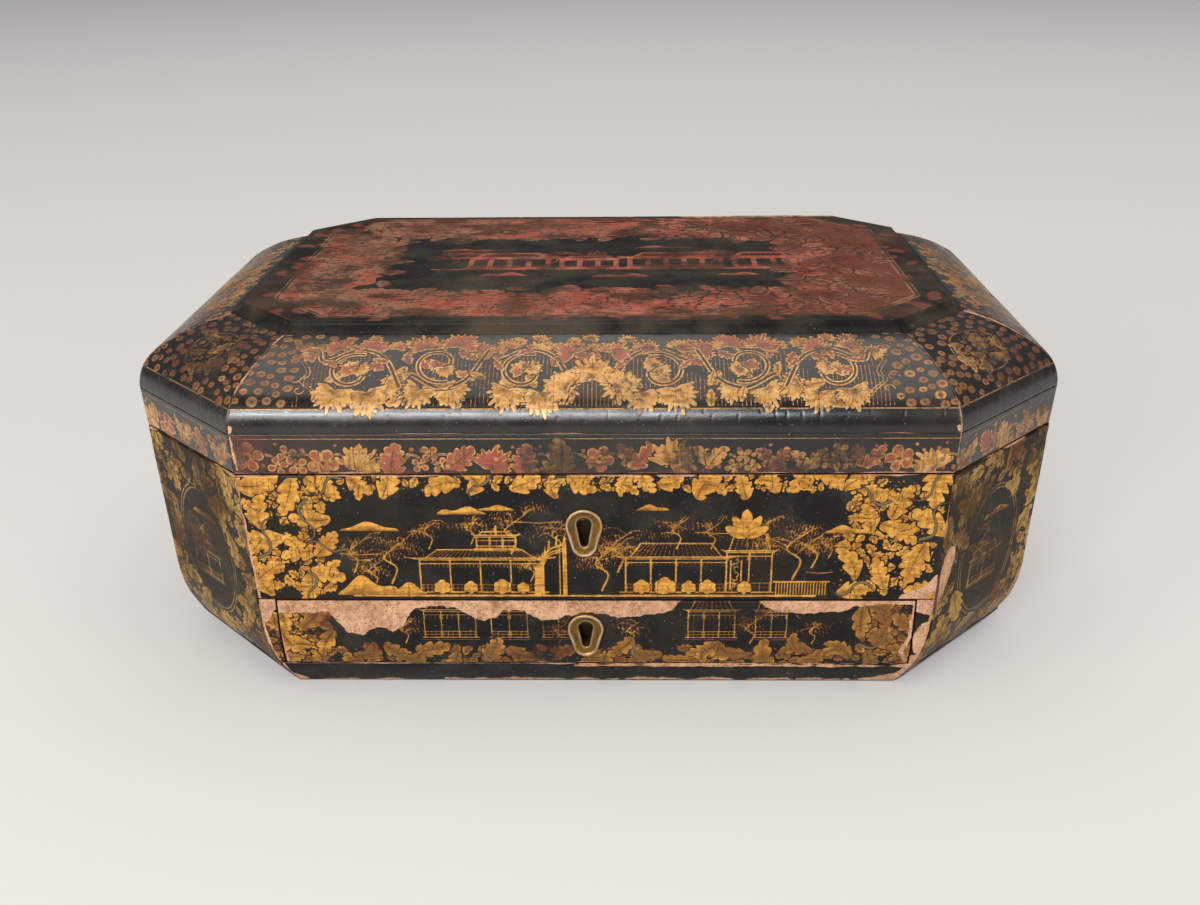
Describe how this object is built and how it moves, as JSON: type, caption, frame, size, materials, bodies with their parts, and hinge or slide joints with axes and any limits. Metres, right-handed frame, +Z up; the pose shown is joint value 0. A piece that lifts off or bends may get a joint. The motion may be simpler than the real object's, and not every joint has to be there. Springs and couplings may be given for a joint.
{
  "type": "work box",
  "caption": "Black lacquered work box with canted corners, a shouldered hinged lid, a lift-out tray over a well, a full-width drawer below and brass keyhole plates",
  "frame": {"origin": "under the middle of the box, on the surface that it stands on", "axes": "X along the length, the front with the drawer faces -Y, Z up"},
  "size_m": [0.364, 0.2584, 0.1416],
  "materials": {
    "case_lacquer": "worn black lacquer with gilt ornament",
    "lid_lacquer": "worn black lacquer with gilt and red ornament",
    "tray_lacquer": "dark red-brown lacquer",
    "inner_wood": "bare softwood",
    "brass": "tarnished brass",
    "steel": "dull steel"
  },
  "bodies": {
    "case": {"case_front": "case_lacquer", "case_front_right_corner": "case_lacquer", "case_right": "case_lacquer", "case_back_right_corner": "case_lacquer", "case_back": "case_lacquer", "case_back_left_corner": "case_lacquer", "case_left": "case_lacquer", "case_front_left_corner": "case_lacquer", "front_stile_left": "case_lacquer", "front_stile_right": "case_lacquer", "foot_rail": "case_lacquer", "bottom_board": "inner_wood", "well_floor": "inner_wood", "drawer_guide_left": "inner_wood", "drawer_guide_right": "inner_wood", "tray_bearer_left": "inner_wood", "tray_bearer_right": "inner_wood", "lid_lock_case": "brass", "lid_escutcheon": "brass", "hinge_case_leaf_left": "brass", "hinge_case_leaf_right": "brass", "hinge_pins": "steel"},
    "lid": {"lid_band_front": "lid_lacquer", "lid_band_front_right_corner": "lid_lacquer", "lid_band_right": "lid_lacquer", "lid_band_back_right_corner": "lid_lacquer", "lid_band_back": "lid_lacquer", "lid_band_back_left_corner": "lid_lacquer", "lid_band_left": "lid_lacquer", "lid_band_front_left_corner": "lid_lacquer", "lid_shoulder_front": "lid_lacquer", "lid_shoulder_front_right_corner": "lid_lacquer", "lid_shoulder_right": "lid_lacquer", "lid_shoulder_back_right_corner": "lid_lacquer", "lid_shoulder_back": "lid_lacquer", "lid_shoulder_back_left_corner": "lid_lacquer", "lid_shoulder_left": "lid_lacquer", "lid_shoulder_front_left_corner": "lid_lacquer", "lid_panel": "lid_lacquer", "hinge_lid_leaf_left": "brass", "hinge_lid_leaf_right": "brass", "lid_link_plate": "brass"},
    "drawer": {"drawer_front": "case_lacquer", "drawer_side_left": "inner_wood", "drawer_side_right": "inner_wood", "drawer_back": "inner_wood", "drawer_bottom": "inner_wood", "drawer_partitions": "inner_wood", "drawer_lock_case": "brass", "drawer_escutcheon": "brass"},
    "tray": {"tray_frame": "tray_lacquer", "tray_floor": "tray_lacquer", "tray_long_dividers": "tray_lacquer", "tray_cross_dividers": "tray_lacquer"},
    "lid_bolt": {"lid_lock_bolt": "steel"},
    "drawer_bolt": {"drawer_lock_bolt": "steel"}
  },
  "joints": [
    {"name": "lid_hinge", "type": "hinge", "parent": "case", "child": "lid", "pos_m": [0, 0.1272, 0.09515], "axis": [-1, 0, 0], "range_deg": [0, 100]},
    {"name": "drawer_slide", "type": "slide", "parent": "case", "child": "drawer", "axis": [0, -1, 0], "range_m": [0, 0.16]},
    {"name": "tray_lift", "type": "slide", "parent": "case", "child": "tray", "axis": [0, 0, 1], "range_m": [0, 0.015]},
    {"name": "lid_bolt_slide", "type": "slide", "parent": "case", "child": "lid_bolt", "axis": [1, 0, 0], "range_m": [0, 0.0045]},
    {"name": "drawer_bolt_slide", "type": "slide", "parent": "drawer", "child": "drawer_bolt", "axis": [0, 0, 1], "range_m": [0, 0.004]}
  ]
}
